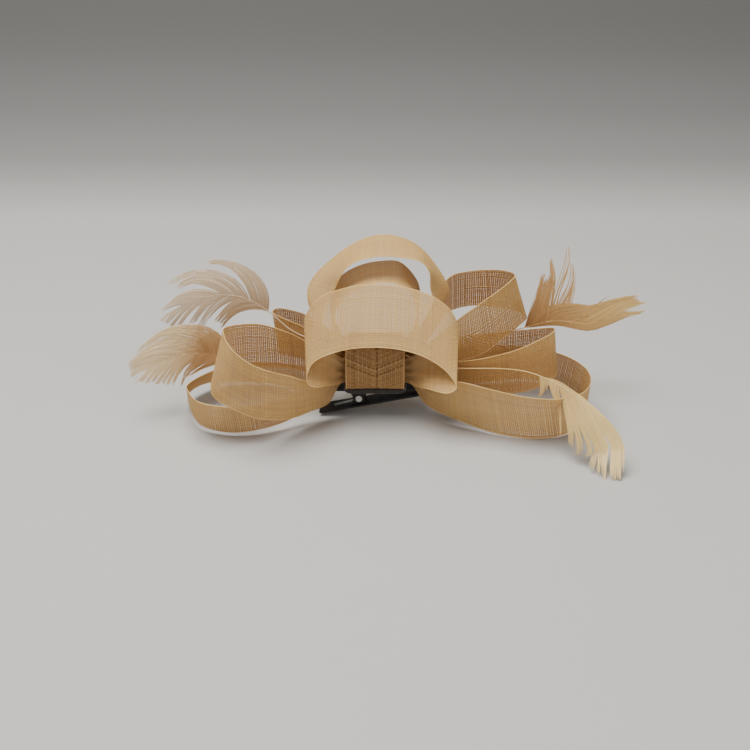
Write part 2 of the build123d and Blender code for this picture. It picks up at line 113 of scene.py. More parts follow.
class Finish:
    # A material round a Principled shader; fixed values go on its own sockets
    def __init__(self, name, **fixed):
        self.material = bpy.data.materials.new(name)
        self.material.use_nodes = True
        self.tree = self.material.node_tree
        self.shader = self.tree.nodes["Principled BSDF"]
        for socket, value in fixed.items():
            self.shader.inputs[socket.replace("_", " ")].default_value = value

    def node(self, kind, settings=None, inputs=None, output=0):
        node = self.tree.nodes.new(kind)
        for key, value in (settings or {}).items():
            if key == "stops":
                ramp = node.color_ramp
                while len(ramp.elements) < len(value):
                    ramp.elements.new(0.5)
                for element, (position, colour) in zip(ramp.elements, value):
                    element.position = position
                    element.color = (*colour, 1)
            else:
                setattr(node, key, value)
        for key, value in (inputs or {}).items():
            if isinstance(value, Sock):
                self.tree.links.new(value.socket, node.inputs[key])
            else:
                node.inputs[key].default_value = value
        return Sock(self.tree, node.outputs[output])

    def mix(self, factor, first, second):
        def colour(c):
            return c if isinstance(c, Sock) else (*c, 1)

        inputs = {0: factor, 6: colour(first), 7: colour(second)}
        return self.node("ShaderNodeMix", {"data_type": "RGBA"}, inputs, output=2)

    def feed(self, **links):
        for socket, value in links.items():
            self.tree.links.new(value.socket, self.shader.inputs[socket.replace("_", " ")])

    def objectNoise(self, scale, detail=3.0):
        place = self.node("ShaderNodeTexCoord", output=3)
        return self.node(
            "ShaderNodeTexNoise", None, {"Vector": place, "Scale": scale, "Detail": detail}
        )

    def attribute(self, name):
        return self.node("ShaderNodeAttribute", {"attribute_name": name}, output=2)

    def bump(self, height, strength, distance):
        settings = {"Height": height, "Strength": strength, "Distance": distance}
        return self.node("ShaderNodeBump", None, settings)


# A smooth curve through stations that start with x, y, z
class Route:
    def __init__(self, stations):
        self.stations = np.array(stations, float)
        gap = np.linalg.norm(np.diff(self.stations[:, :3], axis=0), axis=1)
        self.distance = np.concatenate([[0.0], np.cumsum(gap)])
        self.length = self.distance[-1]
        rise = np.diff(self.stations, axis=0) / gap[:, None]
        before, after = gap[:-1, None], gap[1:, None]
        inner = (rise[:-1] * after + rise[1:] * before) / (before + after)
        self.slope = np.vstack([rise[:1], inner, rise[-1:]])
        self.slope[1] = rise[0]
        self.slope[-2] = rise[-1]

    def at(self, place):
        place = np.atleast_1d(np.asarray(place, float))
        held = np.clip(place, 0, self.length)
        i = np.clip(np.searchsorted(self.distance, held, side="right") - 1, 0, len(self.distance) - 2)
        h = (self.distance[i + 1] - self.distance[i])[:, None]
        t = (held - self.distance[i])[:, None] / h
        point = (
            (2 * t**3 - 3 * t**2 + 1) * self.stations[i]
            + (t**3 - 2 * t**2 + t) * h * self.slope[i]
            + (-2 * t**3 + 3 * t**2) * self.stations[i + 1]
            + (t**3 - t**2) * h * self.slope[i + 1]
        )
        beyond = place - held
        point[:, :3] += beyond[:, None] * self.slope[-1][:3]
        return point


def unit(v):
    return v / np.linalg.norm(v, axis=-1, keepdims=True)


def ease(t):
    t = np.clip(t, 0, 1)
    return t * t * (3 - 2 * t)


def acrossDirection(lean, cant):
    lean, cant = np.radians(lean), np.radians(cant)
    return np.stack([np.sin(cant), np.cos(cant) * np.sin(lean), np.cos(cant) * np.cos(lean)], -1)


def placed(name, shape, material, smooth=False):
    # Turns a bmesh into an object with one material
    mesh = bpy.data.meshes.new(name)
    shape.to_mesh(mesh)
    shape.free()
    mesh.materials.append(material)
    for polygon in mesh.polygons:
        polygon.use_smooth = smooth
    piece = bpy.data.objects.new(name, mesh)
    bpy.context.scene.collection.objects.link(piece)
    return piece


def longEdges(shape, axis, least=0.5):
    return [e for e in shape.edges if abs(e.verts[0].co[axis] - e.verts[1].co[axis]) > least]


def bars(count, cuts):
    # A row of long thin boxes. Gives the mesh, and for each vertex the number of its box,
    # its place along it from 0 to 1, and its side and top from -0.5 to 0.5.
    shape = bmesh.new()
    bmesh.ops.create_cube(shape, size=1.0)
    bmesh.ops.subdivide_edges(shape, edges=longEdges(shape, 0), cuts=cuts)
    bmesh.ops.translate(shape, vec=(0.5, 0, 0), verts=shape.verts)
    mesh = bpy.data.meshes.new("bar")
    shape.to_mesh(mesh)
    shape.free()
    holder = bpy.data.objects.new("bar", mesh)
    bpy.context.scene.collection.objects.link(holder)
    spacing = 2
    row = holder.modifiers.new("row", "ARRAY")
    row.count = count
    row.use_relative_offset = False
    row.use_constant_offset = True
    row.constant_offset_displace = (0, spacing, 0)
    depsgraph = bpy.context.evaluated_depsgraph_get()
    result = bpy.data.meshes.new_from_object(holder.evaluated_get(depsgraph))
    bpy.data.objects.remove(holder)
    co = coordinates(result)
    number = np.round(co[:, 1] / spacing).astype(int)
    return result, number, co[:, 0], co[:, 1] - spacing * number, co[:, 2]


def coordinates(mesh):
    co = np.empty(len(mesh.vertices) * 3)
    mesh.vertices.foreach_get("co", co)
    return co.reshape(-1, 3)


def shapeMesh(mesh, points, u, v, tone):
    # Moves the vertices to points (millimetres) and stores the flat position and the tone
    mesh.vertices.foreach_set("co", (np.asarray(points) * mm).ravel())
    while mesh.uv_layers:
        mesh.uv_layers.remove(mesh.uv_layers[0])
    corner = np.empty(len(mesh.loops), int)
    mesh.loops.foreach_get("vertex_index", corner)
    layer = mesh.uv_layers.new(name="OFBake")
    layer.data.foreach_set("uv", np.stack([u[corner], v[corner]], -1).ravel())
    kept = mesh.attributes.new("tone", "FLOAT", "POINT")
    kept.data.foreach_set("value", np.asarray(tone, float))
    mesh.update()


def joined(name, meshes, material, smooth=False):
    whole = bmesh.new()
    for mesh in meshes:
        whole.from_mesh(mesh)
    bmesh.ops.recalc_face_normals(whole, faces=whole.faces)
    return placed(name, whole, material, smooth)


def weave(name, surface, length, start, material, seed, width=ribbon["width"], depth=lambda along: 0):
    # Warp threads along the ribbon and weft threads across it, over and under in turn.
    # surface(along, across, height) gives points: along in mm, across from -0.5 to 0.5.
    rng = np.random.default_rng(seed)
    pitch, middleTone = ribbon["threadPitch"], ribbon["middleTone"]
    warps = int(round(width / pitch))
    wefts = int(round((length - 2 * start) / pitch)) + 1
    inner = (width - ribbon["selvedgeWidth"]) / width
    meshes = []

    mesh, i, t, side, top = bars(warps, wefts - 2)
    edge = (i == 0) | (i == warps - 1)
    threadWidth = np.where(edge, ribbon["selvedgeWidth"], ribbon["threadWidth"])
    thickness = np.where(edge, ribbon["selvedgeThickness"], ribbon["threadThickness"])
    over = np.where((i + np.round(t * (wefts - 1)).astype(int)) % 2, 1, -1)
    height = top * thickness + ribbon["crimp"] * over * np.where(edge, ribbon["selvedgeCrimp"], 1)
    wander = rng.normal(0, ribbon["threadWander"], warps)
    across = (i / (warps - 1) - 0.5) * inner + (side * threadWidth + wander[i] * ~edge) / width
    along = start + t * (length - 2 * start)
    # Painted light: each warp thread is painted lighter where it rises over a crossing and darker where
    # it dips
    tone = middleTone + rng.normal(0, ribbon["threadTone"], warps)[i] + ribbon["crossingPaintedLight"] * over
    tone = np.where(edge, ribbon["selvedgeTone"], tone)
    points = surface(along, across, height)
    # depth(along) adds the painted shade near the knot to the tone
    shapeMesh(mesh, points, along / length, across + 0.5, tone + depth(along))
    meshes.append(mesh)

    mesh, j, t, side, top = bars(wefts, warps - 2)
    over = np.where((j + np.round(t * (warps - 1)).astype(int)) % 2, 1, -1)
    height = top * ribbon["threadThickness"] - ribbon["crimp"] * over
    across = (t - 0.5) * inner
    wander = rng.normal(0, ribbon["threadWander"], wefts)
    place = start + j / (wefts - 1) * (length - 2 * start)
    along = place - side * ribbon["threadWidth"] + wander[j]
    # Painted light: each weft thread is painted lighter where it rises over a crossing and darker where
    # it dips
    tone = middleTone + rng.normal(0, ribbon["threadTone"], wefts)[j] - ribbon["crossingPaintedLight"] * over
    points = surface(along, across, height)
    # depth(along) adds the painted shade near the knot to the tone
    shapeMesh(mesh, points, along / length, across + 0.5, tone + depth(along))
    meshes.append(mesh)
    return joined(name, meshes, material)


cloth = {
    "patchScale": 90.0,      # of the slow change of shade over the ribbon
    "fibreScale": 2600.0,
    "toneShare": 0.75,
    "patchShare": 0.35,
    "fibreShare": 0.25,
    "darker": 0.3,
    "roughness": 0.55,
    "bump": (0.4, 0.00006),
}


def ribbonFinish(name, dark, light, edge):
    # Light passes through the thin threads, so the shaded side of a loop stays bright
    f = Finish(
        name, Roughness=cloth["roughness"], Specular_IOR_Level=0.25,
        Subsurface_Weight=0.75, Subsurface_Scale=0.0004, Subsurface_Radius=(1.0, 0.85, 0.65),
    )
    patch = f.objectNoise(cloth["patchScale"], 2.0)
    fibre = f.objectNoise(cloth["fibreScale"], 2.0)
    # The tone attribute carries the painted light at the thread crossings and the painted shade near the
    # knot
    level = f.attribute("tone") * cloth["toneShare"] + patch * cloth["patchShare"]
    level = level + fibre * cloth["fibreShare"] - cloth["darker"]
    stops = [(0.05, dark), (0.75, light), (1.0, edge)]
    f.feed(
        Base_Color=f.node("ShaderNodeValToRGB", {"stops": stops}, {"Fac": level}),
        Normal=f.bump(fibre, *cloth["bump"]),
        Roughness=fibre * 0.3 + (cloth["roughness"] - 0.15),
    )
    return f.material


def featherFinish(name, root, middle, tip):
    f = Finish(name, Roughness=0.5, Sheen_Weight=0.08, Sheen_Roughness=0.3)
    fibre = f.objectNoise(1800.0, 2.0)
    place = f.node("ShaderNodeUVMap", {"uv_map": "OFBake"})
    apart = f.node("ShaderNodeSeparateXYZ", None, {0: place})
    stops = [(0.0, root), (0.45, middle), (1.0, tip)]
    body = f.node("ShaderNodeValToRGB", {"stops": stops}, {"Fac": apart})
    shade = f.mix(f.attribute("tone") * 0.8 + fibre * 0.35, (0.45, 0.4, 0.34), (1, 1, 1))
    multiply = {"data_type": "RGBA", "blend_type": "MULTIPLY"}
    tinted = f.node("ShaderNodeMix", multiply, {0: 0.75, 6: body, 7: shade}, output=2)
    f.feed(Base_Color=tinted, Normal=f.bump(fibre, 0.3, 0.00005))
    return f.material


ribbonTan = ribbonFinish("ribbonTan", (0.46, 0.265, 0.11), (0.73, 0.425, 0.138), (0.9, 0.6, 0.25))
# The wrap's ribbon gets darker colours than the loops: partly its own colour, partly painted shade from
# the front arch over the knot
ribbonWrapShaded = ribbonFinish("ribbonWrapShaded", (0.12, 0.05, 0.016), (0.6, 0.33, 0.125), (0.74, 0.47, 0.2))


# Ribbon loops: the same stations as the frame's solids, in millimetres and degrees
def sideTail(side, slot, drop=0.0):
    return (side, slot * ribbon["tailPitch"], ribbon["tailCentreZ"] - drop, 0)


def topTail(side, z):
    return (side, ribbon["layerCentreY"], z, 90)


loops = {
    "front_arch": {
        "tails": (sideTail(-1, -3), sideTail(1, -3)),
        "flare": (24, 24),
        "stations": [
            (-17, -11, 24.2, 50, 0), (-23, -15.5, 28.3, 60, -2), (-26.3, -17, 34, 50, -4),
            (-23.5, -15.5, 41, 38, 2), (-12, -12, 45.5, 37, 4), (0, -10.5, 46.3, 37, 2),
            (12, -11.5, 45.3, 37, 2), (22, -14, 42.3, 37, 3), (28.8, -16, 37, 42, 4),
            (31.3, -17.5, 31.5, 52, 4), (28.5, -16.5, 27.6, 60, 4), (19.5, -12.5, 24.4, 56, 2),
        ],
    },
    "top_arch": {
        "tails": (topTail(-1, ribbon["topLayerZ"]), topTail(1, ribbon["topLayerZ"])),
        "flare": (40, 40),
        "stations": [
            (-18, 3.5, 32.5, 92, -4), (-23.5, 9, 40, 96, -20), (-21.8, 14, 48.5, 103, -30),
            (-14, 15, 59.0, 94, -10), (-6, 15, 64.4, 88, 1), (1.2, 15, 66.2, 87, 0),
            (10.2, 15, 65.6, 88, 0), (17.8, 15, 62.7, 94, 2), (23.2, 14, 56.5, 102, 10),
            (25.8, 12, 49, 108, 22), (24.8, 6, 40.5, 98, 8), (19, 3, 33, 92, 2),
        ],
    },
    "inner_arch": {
        "tails": (topTail(-1, ribbon["innerLayerZ"]), topTail(1, ribbon["innerLayerZ"])),
        "flare": (24, 24),
        "stations": [
            (-15.5, 4, 34, 90, 0), (-17.3, 8, 41, 92, -6), (-14.5, 10.5, 48.8, 92, -8),
            (-4.1, 11.5, 55.3, 89, -4), (2, 12, 56.3, 88, 0), (9.2, 12, 55.8, 87, 3),
            (15.5, 11.5, 50.5, 95, 6), (17.5, 8, 41, 92, 4), (15.5, 4, 34, 90, 0),
        ],
    },
    "right_upper": {
        "tails": (sideTail(1, 0), sideTail(1, 3)),
        "flare": (30, 60),
        "stations": [
            (22, -3, 26.5, -12, 0), (32.9, -2, 32.8, -23, -3), (41, 0, 36, -19, -10),
            (48, 2.2, 40.6, -22, -12), (55, 6, 44.9, -25, -15), (58.3, 12, 46.0, -26, -17),
            (54.5, 18.5, 46.2, -31, -12), (47, 23, 45.6, -33, -8), (39, 25.5, 44.5, -32, -5),
            (31.5, 28.5, 41.2, -24, -3), (24.5, 24, 33, -12, 0), (16.5, 12, 25, -5, 0),
        ],
    },
    "right_middle": {
        "tails": (sideTail(1, -1), sideTail(1, 1)),
        "flare": (50, 40),
        "stations": [
            (22, -4.5, 19.2, -14, 0), (33.8, -6.5, 20, -26, 3), (45, -8.3, 20.7, -26, -5),
            (56, -8.8, 22.4, -23, -8), (64, -6.5, 24.5, -20, -8), (71, -1.5, 26.6, -21, -8),
            (72, 5, 26, -24, -10), (66.5, 12, 23.3, -26, -11), (55, 14.5, 20.8, -25, -6),
            (40, 11.5, 20.1, -20, -2), (25, 6.5, 20.5, -8, 0),
        ],
    },
    "right_lower": {
        "tails": (sideTail(1, -2, 0.6), sideTail(1, 2)),
        "flare": (36, 40),
        "stations": [
            (20, -8, 13.5, -20, 0), (33, -17.5, 13.3, -22, -8), (48, -25, 12, -20, -12),
            (60, -28, 11.3, -24, -12), (71, -26, 11, -30, -12), (80, -17.5, 11, -38, -9),
            (85, -5, 11.3, -42, -6), (84, 8, 11.2, -40, -3), (78, 17.5, 11.5, -38, -3),
            (64, 23.5, 12, -34, -2), (46, 21.5, 12.5, -28, 0), (28, 12, 16, -14, 0),
        ],
    },
    "left_lower": {
        "tails": (sideTail(-1, -1, 1.0), sideTail(-1, 2)),
        "flare": (100, 60),
        "stations": [
            (-19, -5.5, 14, -12, 0), (-28, -11, 10.6, -20, -2), (-37, -18.3, 9.1, -27, -3),
            (-46, -23, 9, -30, -1), (-57, -24.8, 9.4, -32, 1), (-67, -21.5, 10.2, -38, 5),
            (-73, -11, 11.3, -48, 8), (-75, 2, 10.5, -58, 8), (-69, 12, 10.2, -58, 4),
            (-57, 18.5, 9.8, -48, 1), (-42, 18, 9.6, -40, 0), (-29, 13.5, 9.6, -24, 0),
            (-21, 10.5, 11.2, -8, 0), (-15.5, 6.5, 16.6, -2, 0),
        ],
    },
    "left_middle": {
        "tails": (sideTail(-1, -2, 0.3), sideTail(-1, 0)),
        "flare": (36, 40),
        "stations": [
            (-19, -10, 14, -24, 0), (-26, -17.5, 15.6, -28, 0), (-32, -25, 18.7, -24, 3),
            (-38.5, -31.5, 22.3, -19, 4), (-45, -34.6, 25.7, -15, 5), (-51.5, -33.2, 28.9, -12, 9),
            (-57, -27, 30.4, -8, 15), (-60, -17, 30.3, -8, 16), (-60.5, -8, 29.7, -14, 14),
            (-55, -1, 29, -20, 8), (-45, 3.5, 28, -23, 3), (-34, 4.5, 25.5, -20, 0),
            (-23, 2.5, 22, -8, 0),
        ],
    },
    "left_upper": {
        "tails": (sideTail(-1, 1), sideTail(-1, 3)),
        "flare": (50, 50),
        "stations": [
            (-20, 6.5, 24.5, -6, 0), (-29, 13, 25.5, -12, 0), (-36.5, 18, 26, -18, -2),
            (-41.5, 23.5, 26, -20, -3), (-39, 29, 25.5, -20, -2), (-31, 28, 25, -18, 0),
            (-21, 18.5, 24, -8, 0),
        ],
    },
}


def loopSurface(shape):
    # Gives the ribbon's surface, its painted shade (how much darker it is painted at each place, most
    # where it gathers into the knot), and its length
    first, last = shape["tails"]
    ends = [
        [(side * x, y, z, lean, 0) for x in (ribbon["tailInset"], tailHalf)]
        for side, y, z, lean in (first, last)
    ]
    route = Route(ends[0] + shape["stations"] + ends[1][::-1])
    tail = tailHalf - ribbon["tailInset"]
    step = 0.25
    d = np.arange(0, route.length + step, step)
    s = route.at(d)
    middle = s[:, :3]
    across = acrossDirection(s[:, 3], s[:, 4])
    normal = unit(np.cross(unit(np.gradient(middle, axis=0)), across))
    leaving, entering = shape["flare"]
    opened = np.minimum(ease((d - tail) / leaving), ease((route.length - d - tail) / entering))
    width = ribbon["tailHeight"] + (ribbon["width"] - ribbon["tailHeight"]) * opened
    sway, swayLength = ribbon["pleatDrift"]

    # Painted shade: the ribbon is painted darker where it gathers into the knot, under the front arch
    def depth(along):
        return -ribbon["knotPaintedShade"] * (1 - np.interp(along, d, opened)) ** 3

    def surface(along, place, height):
        def read(table):
            return np.stack([np.interp(along, d, table[:, k]) for k in range(3)], -1)

        pleat = (1 - np.interp(along, d, opened)) ** 2 * ribbon["pleatDepth"]
        turns = ribbon["pleats"] * place + sway * np.sin(along / swayLength)
        out = height + pleat * np.sin(2 * np.pi * turns)
        wide = np.interp(along, d, width)
        return read(middle) + read(across) * (place * wide)[:, None] + read(normal) * out[:, None]

    return surface, depth, route.length


print("weaving the loops")
for seed, (node, shape) in enumerate(loops.items()):
    surface, depth, length = loopSurface(shape)
    start = ribbon["weaveStart"]
    # depth carries the painted shade where the ribbon gathers into the knot
    piece = weave(node + "_weave", surface, length, start, ribbonTan, seed + 1, depth=depth)
    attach(piece, "headpiece")
    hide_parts(node)
    flat = (ribbon["width"] * mm, length * mm)


# Centre wrap: a doubled ribbon drawn round the knot, over a folded one
wrap = {
    "halfY": 8.3,
    "bottomZ": 14.35,
    "topZ": 32.7,
    "corner": 10.0,          # power of the rounded rectangle
    "waist": 0.02,           # how much the sleeve is pinched in at its middle
    "bulge": 0.8,            # of the front and back
    "chevron": 0.45,         # slope of the weft each side of the middle
    "layerGap": 0.32,
    "firstSeed": 40,
    "coreDepth": 0.3,        # of the folded ribbon below the two layers
    "coreWall": 0.3,
    "coreLength": 0.985,     # share of the knot's width
    "coreSegments": 120,
    "coreCuts": 11,
}


def wrapSurface(proud, chevron):
    # The sleeve round the knot, and the length once round it
    angle = np.linspace(0, 2 * np.pi, 721)
    halfZ = (wrap["topZ"] - wrap["bottomZ"]) / 2
    middleZ = (wrap["topZ"] + wrap["bottomZ"]) / 2
    c, s = np.cos(angle - np.pi / 2), np.sin(angle - np.pi / 2)
    power = 2 / wrap["corner"]
    y, z = np.sign(s) * np.abs(s) ** power * wrap["halfY"], np.sign(c) * np.abs(c) ** power * halfZ
    ring = np.stack([y, z], -1)
    gap = np.linalg.norm(np.diff(ring, axis=0), axis=1)
    d = np.concatenate([[0.0], np.cumsum(gap)])
    tangent = unit(np.gradient(ring, axis=0))
    out = np.stack([-tangent[:, 1], tangent[:, 0]], -1)
    out *= np.sign(np.sum(out * ring, axis=1, keepdims=True))

    def surface(along, place, height):
        x = place * ribbon["knotWidth"]
        along = (along + chevron * np.abs(x)) % d[-1]
        y, z = np.interp(along, d, ring[:, 0]), np.interp(along, d, ring[:, 1])
        oy, oz = np.interp(along, d, out[:, 0]), np.interp(along, d, out[:, 1])
        pinch = 1 - wrap["waist"] * (1 - (2 * place) ** 2)
        lift = height + proud
        swell = wrap["bulge"] * (1 - (z / halfZ) ** 2) * np.sign(y)
        return np.stack([x, y * pinch + swell + oy * lift, z * pinch + oz * lift + middleZ], -1)

    return surface, d[-1]


def foldedFinish():
    f = Finish("foldedRibbon", Roughness=0.8)
    place = f.node("ShaderNodeTexCoord", output=3)
    lines = {"Vector": place, "Scale": 400.0, "Distortion": 1.0}
    weft = f.node("ShaderNodeTexWave", {"bands_direction": "Z"}, lines)
    level = weft * 0.4 + f.objectNoise(200.0) * 0.4
    body = f.mix(level, (0.09, 0.045, 0.02), (0.28, 0.15, 0.07))
    f.feed(Base_Color=body, Normal=f.bump(weft, 0.3, 0.0001))
    return f.material


def wrapCore():
    # The folded ribbon under the two layers, seen through their meshes
    surface, length = wrapSurface(-wrap["coreDepth"], 0)
    shape = bmesh.new()
    bmesh.ops.create_cone(
        shape, segments=wrap["coreSegments"], radius1=1, radius2=1, depth=1, cap_ends=False
    )
    bmesh.ops.subdivide_edges(shape, edges=longEdges(shape, 2), cuts=wrap["coreCuts"])
    for vertex in shape.verts:
        around = math.atan2(vertex.co.y, vertex.co.x) / (2 * math.pi) % 1
        place = vertex.co.z * wrap["coreLength"]
        vertex.co = surface(np.array([around * length]), np.array([place]), np.zeros(1))[0] * mm
    bmesh.ops.recalc_face_normals(shape, faces=shape.faces)
    piece = placed("centre_wrap_core", shape, foldedFinish())
    wall = piece.modifiers.new("wall", "SOLIDIFY")
    wall.thickness = wrap["coreWall"] * mm
    wall.offset = -1
    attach(piece, "headpiece")


print("wrapping the knot")
for layer, chevron in enumerate((wrap["chevron"], -wrap["chevron"])):
    surface, length = wrapSurface(wrap["layerGap"] * (1 - layer), chevron)
    name, seed = f"centre_wrap_layer_{layer + 1}", wrap["firstSeed"] + layer
    piece = weave(name, surface, length, 0.0, ribbonWrapShaded, seed, ribbon["knotWidth"])
    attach(piece, "headpiece")
    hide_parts("centre_wrap")
    flat = (ribbon["knotWidth"] * mm, length * mm)
wrapCore()


# Feathers: the stations of the frame's quills and vanes. A lock is a group of barbs: where its
# first and last barb leave the quill, where those two end (along the vane, out from the quill),
# the angles at which they leave and arrive, the gap between barbs, and how much lighter it is.
quillZ = 27.4
feathers = {
    "left_upper": {
        "bare": 6, "camber": 2.5, "seed": 11, "slot": "left_feather",
        "colours": ((0.6, 0.41, 0.23), (0.84, 0.64, 0.42), (0.88, 0.74, 0.55)),
        "stations": [
            (-4, 1.4, quillZ, 0, 0), (-11.5, 1.4, quillZ, 0, 0), (-15, 1.9, 27.8, 0, 10),
            (-18, 3.0, 28.5, 0, 20), (-25, 6.0, 29.7, 0, 30), (-33.7, 8, 33.2, 4, 42),
            (-41.9, 9, 40.3, 8, 40), (-47, 8.6, 44.2, 6, 30), (-53.2, 7.8, 47.3, 4, 12),
            (-59.5, 6.5, 48.6, 4, 0), (-67, 4.5, 48.3, 4, -6), (-74.5, 2.0, 46.3, 4, -14),
            (-81.5, -0.5, 43, 4, -20), (-84.5, -1.5, 41.5, 4, -20),
        ],
        "locks": [
            ((1, 9), (21.6, 13.4, 24.8, 12.6), (62, 50), (5, 2), 0.13, -0.2),
            ((9.5, 20), (35.6, 9.4, 35.2, 6.2), (52, 34), (-18, -14), 0.14, -0.05),
            ((20, 36), (39, 4.2, 45.5, 1.6), (24, 14), (-12, -8), 0.16, 0.1),
            ((1, 12), (18.2, -13.8, 25.5, -10.6), (-24, -22), (-50, -36), 0.12, 0.1),
            ((12, 24), (28.5, -11, 40, -8.2), (-26, -20), (-40, -26), 0.24, 0.05),
            ((24, 43), (41.5, -7.4, 47.5, -0.8), (-22, -14), (-26, -8), 0.2, 0.1),
        ],
    },
    "left_lower": {
        "bare": 6, "camber": 2.5, "seed": 12, "slot": "left_feather",
        "colours": ((0.86, 0.58, 0.3), (0.95, 0.7, 0.39), (0.95, 0.77, 0.49)),
        "stations": [
            (-10.9, 1.0, 23, 0, 0), (-15, 1.6, 23, 0, 0), (-20, 4.0, 23.3, 0, 0),
            (-29, 8.2, 24, 0, 0), (-37, 9.6, 24.2, 0, 0), (-47, 9, 23.3, 0, 0),
            (-60.6, 5, 22.5, 5, 15), (-66.6, 2, 25.5, -8, 15), (-72, -3.3, 27.6, -4, 8),
            (-76, -5.2, 27.8, 0, 4), (-79, -6, 27.3, 3, -2), (-84.5, -7.5, 25.2, 5, -15),
            (-91, -8.5, 21.5, 5, -28), (-94.3, -9, 19.3, 5, -32),
        ],
        "locks": [
            ((-1, 12), (26, 9.8, 36.5, 5.8), (80, 45), (-24, -16), 0.11, -0.22),
            ((12, 33), (37, 5.6, 41, 1), (42, 20), (-14, -5), 0.14, 0.0),
            ((-0.5, 10), (7, -11.5, 26.5, -13.2), (-55, -42), (-60, -26), 0.1, 0.12),
            ((9, 34), (28.2, -11.4, 40.6, -1.2), (-42, -20), (-34, -8), 0.13, 0.22),
        ],
    },
    "right_upper": {
        "bare": 7, "camber": 1.5, "seed": 13, "slot": "amber_feather",
        "colours": ((0.34, 0.16, 0.055), (0.68, 0.4, 0.14), (0.94, 0.68, 0.26)),
        "stations": [
            (4, 3, quillZ, 0, 0), (11.5, 3.3, quillZ, 0, 0), (20, 7.3, 27.6, 0, 0),
            (28, 11.8, 27.3, 0, 0), (40, 15.8, 27.8, 0, 0), (50, 15.6, 29, 0, 0),
            (57, 14.8, 30.5, 0, 0), (61.8, 13.9, 32.2, 5, 25), (67.3, 13.3, 34.1, 5, 10),
            (70.5, 12.9, 35, 5, 0), (74.7, 12.4, 35.4, 5, 0), (80.6, 11.5, 35, 5, 0),
            (86.5, 10.6, 34.8, 5, -6), (92.6, 9.8, 37.4, 5, -22),
            (99.2, 9, 40.8, 5, -22), (106.1, 8.4, 42.6, 5, -10),
        ],
        "locks": [
            ((-1, 8), (8.6, 18.4, 11.8, 14.6), (62, 62), (84, 64), 0.09, -0.2),
            ((5, 10), (10.6, 23.6, 11.2, 22.8), (80, 84), (96, 98), 0.22, -0.3),
            ((9, 11.5), (13.8, 27.4, 14.3, 26.6), (84, 84), (94, 96), 0.4, -0.1),
            ((10, 15), (14.4, 23.6, 16.8, 17.6), (74, 66), (104, 98), 0.3, -0.2),
            ((19, 20.5), (36.4, 7.9, 36.2, 7.6), (36, 34), (6, 8), 0.5, -0.5),
            ((0, 16), (38, 5.4, 46.6, 4.4), (46, 24), (-8, 0), 0.12, 0.15),
            ((16, 38), (43, 3.8, 49, 1.6), (20, 8), (0, 0), 0.2, 0.3),
            ((-1, 14), (26, -2.8, 40, -2.8), (-10, -10), (-4, -2), 0.16, 0.05),
            ((14, 38), (40, -2.8, 48.4, -1.6), (-12, -8), (-3, 0), 0.2, 0.25),
        ],
    },
    "right_lower": {
        "bare": 9, "camber": 2.0, "seed": 14, "slot": "cream_feather",
        "colours": ((0.66, 0.44, 0.17), (0.86, 0.6, 0.23), (0.92, 0.69, 0.31)),
        "stations": [
            (4, -4, quillZ, 0, 0), (11.5, -4.2, quillZ, 0, 0), (15, -5.1, 25.7, 0, 0),
            (20, -7.1, 23.7, 0, 0), (28, -9.2, 24, 0, 0), (36, -11.4, 24.8, 0, 0),
            (44.3, -13.2, 25.6, 0, 0), (52, -14.4, 25.8, 0, 0), (58.4, -15.8, 25.3, 10, 14),
            (65.1, -22.5, 25.2, 20, 20), (69.3, -28, 24.9, 22, 14),
            (72.2, -31.9, 24.2, 22, 12), (75, -35, 23, 22, 20),
            (77.9, -37.8, 21.5, 22, 32), (82.3, -41.5, 18.6, 20, 40),
            (86.8, -45, 14.2, 15, 52), (89.3, -49, 8.5, 10, 66), (88.8, -53, 4, 10, 72),
        ],
        "locks": [
            ((-4, 0.5), (-1.6, -8.6, 1.6, -3.6), (-62, -55), (-98, -80), 0.14, 0.05),
            ((1, 6), (9, -8.6, 19, -15.4), (-70, -62), (-70, -46), 0.09, 0.2),
            ((6, 10), (23.5, -15.6, 35, -14.4), (-50, -42), (-46, -30), 0.07, 0.12),
            ((10, 15), (39, -13.8, 49.5, -8.2), (-40, -30), (-20, -4), 0.08, -0.05),
            ((15, 22), (47, -8.6, 52.5, -5.6), (-28, -22), (0, 2), 0.1, 0.16),
            ((22, 40), (50.5, -4.6, 51.5, -0.4), (-20, -10), (-2, 4), 0.14, 0.05),
            ((-2, 40), (9, 1.2, 50, 0.4), (14, 8), (0, -4), 0.3, 0.25),
        ],
    },
}
quill = {"rootRadius": 0.34, "tipRadius": 0.12, "segments": 8, "cuts": 120, "tone": 0.45}
barb = {
    "width": 0.3,
    "tipWidth": 0.06,
    "thickness": 0.07,
    "cuts": 9,
    "arm": 0.38,             # how long a barb holds the angle at which it leaves or arrives
    "tuft": 26,              # barbs whose tips draw together
    "cling": 0.3,            # how far they do
    "lengthSpread": 0.03,
    "tuftSpread": 0.035,
    "angleSpread": 2.5,
    "layerSpread": 0.07,     # how far a barb lies above or below its neighbours
    "toneSpread": 0.14,
    "rootShade": 0.15,
    "camberWidth": 12.0,     # out from the quill, where the vane has curved by its camber
    "flatBefore": 6.0,       # margins of the flat position that is stored for the colours
    "flatBeyond": 12.0,
    "flatWidth": 60.0,
}


def featherFrame(route, along):
    # The quill's point, the direction across the vane, and the way the vane faces
    point = route.at(along)[:, :3]
    ahead, behind = route.at(along + 0.05), route.at(along - 0.05)
    tangent = unit(ahead[:, :3] - behind[:, :3])
    across = acrossDirection(*route.at(along)[:, 3:5].T)
    across = unit(across - tangent * np.sum(across * tangent, axis=1, keepdims=True))
    return point, across, np.cross(tangent, across)


